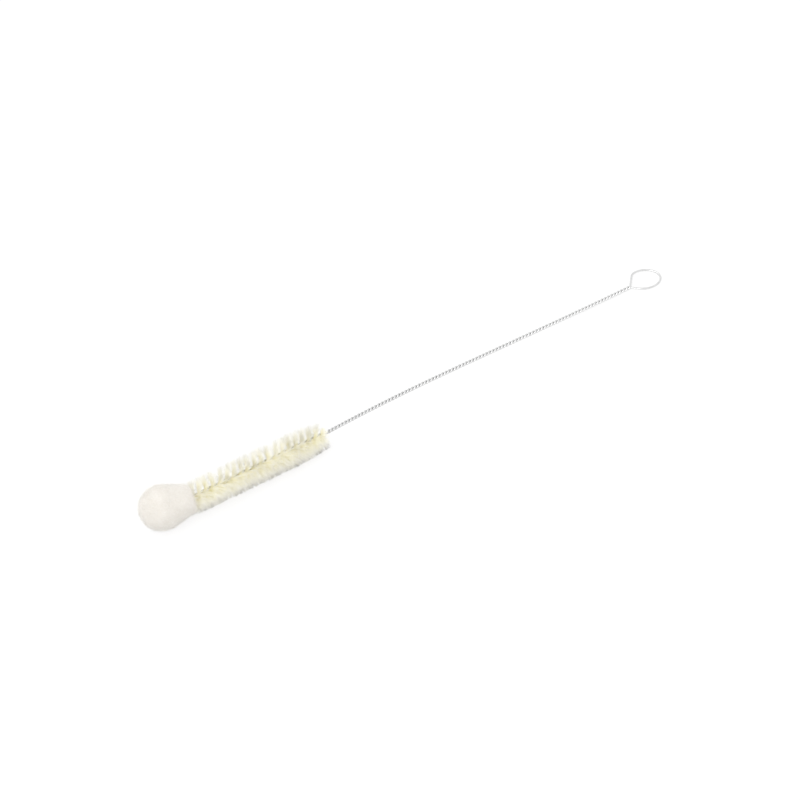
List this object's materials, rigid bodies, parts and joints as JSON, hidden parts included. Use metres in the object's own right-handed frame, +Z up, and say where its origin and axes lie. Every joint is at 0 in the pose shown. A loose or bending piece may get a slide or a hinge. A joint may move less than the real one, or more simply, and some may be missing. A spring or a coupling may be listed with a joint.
{
  "type": "bottle brush",
  "caption": "laboratory bottle brush: twisted wire stem with natural bristles, a wool ball tip and a wire hanging ring",
  "frame": {"origin": "bottom centre of the bounding box, on the surface that the brush lies on", "axes": "+X along the stem from the wool tip to the hanging ring, +Z up, in the pose at rest"},
  "size_m": [0.4496, 0.034, 0.0337],
  "materials": {
    "galvanised_wire": "bright drawn galvanised wire",
    "bristle": "pale natural bristle, almost white at the tips",
    "wool": "soft off-white wool"
  },
  "bodies": {
    "root": {"wire": "galvanised_wire", "bristles": "bristle", "wool_tip": "wool"}
  },
  "joints": []
}
